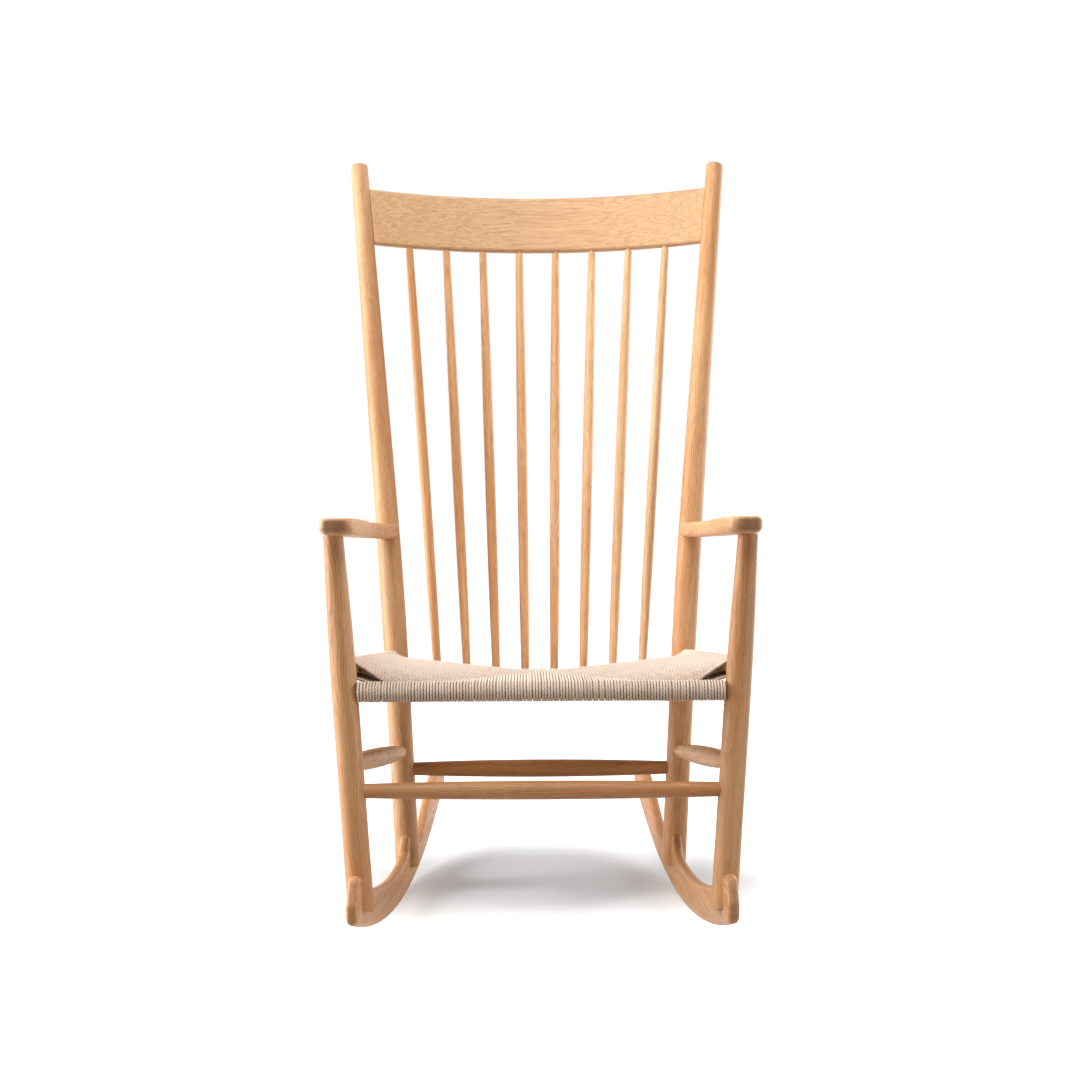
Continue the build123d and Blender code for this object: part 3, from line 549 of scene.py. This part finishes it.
def make_seat(nodes):
    """Four fans of strands that meet along the seams from the corners to the middle."""
    material = cord_material()
    front = Rail(nodes["seat_front_rail"], SEAT_RAIL_WIDTH)
    back = Rail(nodes["seat_back_rail"], BACK_RAIL_WIDTH)
    left = Rail(nodes["seat_side_rail_left"], SEAT_RAIL_WIDTH)
    right = Rail(nodes["seat_side_rail_right"], SEAT_RAIL_WIDTH)
    middle_top = np.array([0, SEAT_MIDDLE_Y, SEAT_MIDDLE_TOP])
    middle_bottom = np.array([0, SEAT_MIDDLE_Y, SEAT_MIDDLE_BOTTOM])
    front_span = abs(front.end[0] - front.start[0])
    back_span = abs(back.end[0] - back.start[0])
    pitch = front_span / (2 * (WRAPS_PER_HALF + CORNER_WRAPS))
    front_half = WRAPS_PER_HALF * pitch
    back_half = back_span / 2

    def corner(rail, half, sign, setback, drop):
        """Top and bottom of a seam's corner end."""
        place = rail.at(0.5)
        top = np.array([sign * half, place[1] + setback, place[2] + rail.height - drop])
        bottom = np.array([sign * half, place[1] + setback, place[2] - rail.height + drop])
        return top, bottom

    ends = {
        (sign, side): corner(rail, half, sign, setback, drop)
        for sign in (-1, 1)
        for side, rail, half, setback, drop in (
            ("front", front, front_half, SEAM_SETBACK, SEAM_FRONT_DROP),
            ("back", back, back_half, -SEAM_SETBACK, SEAM_REAR_DROP),
        )
    }
    across = np.array([1.0, 0, 0])
    shares = (np.arange(WRAPS_PER_HALF) + 0.5) / WRAPS_PER_HALF

    def fan(rail, place_of, sign, side):
        top, bottom = ends[sign, side]
        along = (rail.end - rail.start) / np.linalg.norm(rail.end - rail.start)
        made = []
        for share in shares:
            place = jitter(place_of(share), along)
            seam_top = seam(top, middle_top, share)
            seam_bottom = seam(bottom, middle_bottom, share)
            route, normal = strand_route(rail, place, seam_top, seam_bottom)
            made.append((route, normal, False))
        return made

    def on_straight_rail(rail, half, sign):
        centre = rail.at(0.5)
        return lambda share: centre + across * sign * half * (1 - share)

    def on_side_rail(rail, side):
        first, last = sorted((rail.start, rail.end), key=lambda end: end[1])
        if side == "front":
            return lambda share: first + (last - first) * share / 2
        return lambda share: last + (first - last) * share / 2

    def on_seam(sign, side, share):
        """Half-way between the top and the bottom of a seam."""
        top, bottom = ends[sign, side]
        return (seam(top, middle_top, share) + seam(bottom, middle_bottom, share)) / 2

    front_strands = []
    back_strands = []
    for sign in (-1, 1):
        front_strands += fan(front, on_straight_rail(front, front_half, sign), sign, "front")
        back_strands += fan(back, on_straight_rail(back, back_half, sign), sign, "back")
    centre = front.at(0.5)
    for sign in (-1, 1):
        for number in range(CORNER_WRAPS):
            place = centre + across * sign * (front_half + (number + 0.5) * pitch)
            route, normal = loop_route(front, jitter(place, across), np.array([0, 1.0, 0]))
            front_strands.append((route, normal, True))
    cord_piece("cord_front", front_strands, material)
    cord_piece("cord_back", back_strands, material)
    for name, rail, sign in (("cord_left", left, 1), ("cord_right", right, -1)):
        strands = []
        for side in ("front", "back"):
            strands += fan(rail, on_side_rail(rail, side), sign, side)
        cord_piece(name, strands, material)

    # inside, between the two layers, the same strands cross from side rail to side rail
    crossing = []
    for side in ("front", "back"):
        for share in shares[CROSSINGS_LEFT_OUT:]:
            route = [
                on_side_rail(left, side)(share),
                on_seam(1, side, share),
                on_seam(-1, side, share),
                on_side_rail(right, side)(share),
            ]
            crossing.append((rounded(np.array(route), 1), np.array([0, 1.0, 0]), False))
    cord_piece("cord_inside", crossing, material, CROSSING_STEP)


# --- studio -------------------------------------------------------------------------------------


def seen_as_backdrop(tree):
    """1 for camera, glossy and transmission rays, 0 for light that falls on things."""
    path = add(tree, "ShaderNodeLightPath")
    seen = maths(tree, "MAXIMUM", path.outputs["Is Camera Ray"], path.outputs["Is Glossy Ray"])
    return maths(tree, "MAXIMUM", seen, path.outputs["Is Transmission Ray"])


def make_world():
    world = bpy.data.worlds.new("studio")
    bpy.context.scene.world = world
    world.use_nodes = True
    tree = world.node_tree
    tree.nodes.clear()
    strength = maths(tree, "MULTIPLY_ADD", seen_as_backdrop(tree), 1 - AMBIENT, AMBIENT)
    inputs = {"Color": (1, 1, 1, 1), "Strength": strength}
    background = add(tree, "ShaderNodeBackground", inputs)
    add(tree, "ShaderNodeOutputWorld", {"Surface": background.outputs[0]})


def make_floor():
    material, tree = new_material("studio_floor")
    seen = seen_as_backdrop(tree)
    colour = blend(tree, seen, FLOOR_BOUNCE, FLOOR_COLOUR)
    diffuse = add(tree, "ShaderNodeBsdfDiffuse", {"Color": colour})
    place = add(tree, "ShaderNodeTexCoord").outputs["Object"]
    # painted shadow: the glow is least inside the ellipse and rises to white beyond it, so the
    # floor under the chair is grey, with the cast shadow falling within
    away = vector_maths(tree, "SUBTRACT", place, SHADOW_MIDDLE)
    away = vector_maths(tree, "DIVIDE", away, SHADOW_REACH)
    away = vector_maths(tree, "LENGTH", away, output="Value")
    lift = between(tree, away, *LIFT_RISE, FLOOR_LIFT, 1.0)
    lift = maths(tree, "MULTIPLY", seen, lift)
    glow = add(tree, "ShaderNodeEmission", {"Color": (1, 1, 1, 1), "Strength": lift})
    both = add(tree, "ShaderNodeAddShader", {0: diffuse.outputs[0], 1: glow.outputs[0]})
    behind = add(tree, "ShaderNodeNewGeometry").outputs["Backfacing"]  # clear from below
    clear = add(tree, "ShaderNodeBsdfTransparent")
    surface = add(tree, "ShaderNodeMixShader", {0: behind, 1: both.outputs[0], 2: clear.outputs[0]})
    add(tree, "ShaderNodeOutputMaterial", {"Surface": surface.outputs[0]})
    mesh = bpy.data.meshes.new("studio_floor")
    h = FLOOR_HALF
    mesh.from_pydata([(-h, -h, 0), (h, -h, 0), (h, h, 0), (-h, h, 0)], [], [(0, 1, 2, 3)])
    mesh.materials.append(material)
    floor = bpy.data.objects.new("studio_floor", mesh)
    bpy.context.scene.collection.objects.link(floor)


def softbox(name, place, width, height, watts):
    lamp = bpy.data.lights.new(name, "AREA")
    lamp.shape = "RECTANGLE"
    lamp.size, lamp.size_y = width, height
    lamp.energy = watts
    obj = bpy.data.objects.new(name, lamp)
    obj.location = place
    obj.rotation_euler = (Vector(AIM) - Vector(place)).to_track_quat("-Z", "Y").to_euler()
    bpy.context.scene.collection.objects.link(obj)


def make_lights():
    softbox("key_above", place=(-0.2, -0.95, 2.5), width=1.4, height=1.5, watts=44)
    softbox("side_left", place=(-2.4, -0.1, 1.0), width=1.0, height=2.0, watts=97)
    softbox("back_right", place=(2.0, 1.4, 1.1), width=1.0, height=1.8, watts=37)
    softbox("low_right", place=(2.2, -1.2, 0.5), width=1.0, height=0.7, watts=14)


def make_camera():
    data = bpy.data.cameras.new("camera")
    data.sensor_width = SENSOR
    data.lens = SENSOR * FOCAL_PIXELS / PICTURE_PIXELS
    camera = bpy.data.objects.new("camera", data)
    yaw = Matrix.Rotation(radians(CAMERA_YAW), 4, "Z")
    pitch = Matrix.Rotation(radians(90 + CAMERA_PITCH), 4, "X")
    roll = Matrix.Rotation(radians(CAMERA_ROLL), 4, "Z")
    camera.matrix_world = Matrix.Translation(CAMERA_PLACE) @ yaw @ pitch @ roll
    bpy.context.scene.collection.objects.link(camera)
    bpy.context.scene.camera = camera


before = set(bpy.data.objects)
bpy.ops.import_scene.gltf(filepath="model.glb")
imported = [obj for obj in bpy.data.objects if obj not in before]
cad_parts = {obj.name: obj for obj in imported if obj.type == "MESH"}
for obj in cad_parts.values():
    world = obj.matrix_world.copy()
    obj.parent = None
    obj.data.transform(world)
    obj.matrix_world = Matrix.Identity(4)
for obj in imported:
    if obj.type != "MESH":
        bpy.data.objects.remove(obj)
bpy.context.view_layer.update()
make_camera()
make_world()
make_floor()
make_lights()
dress_in_oak(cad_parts)
make_seat(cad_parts)
bpy.context.scene.view_settings.view_transform = "Standard"
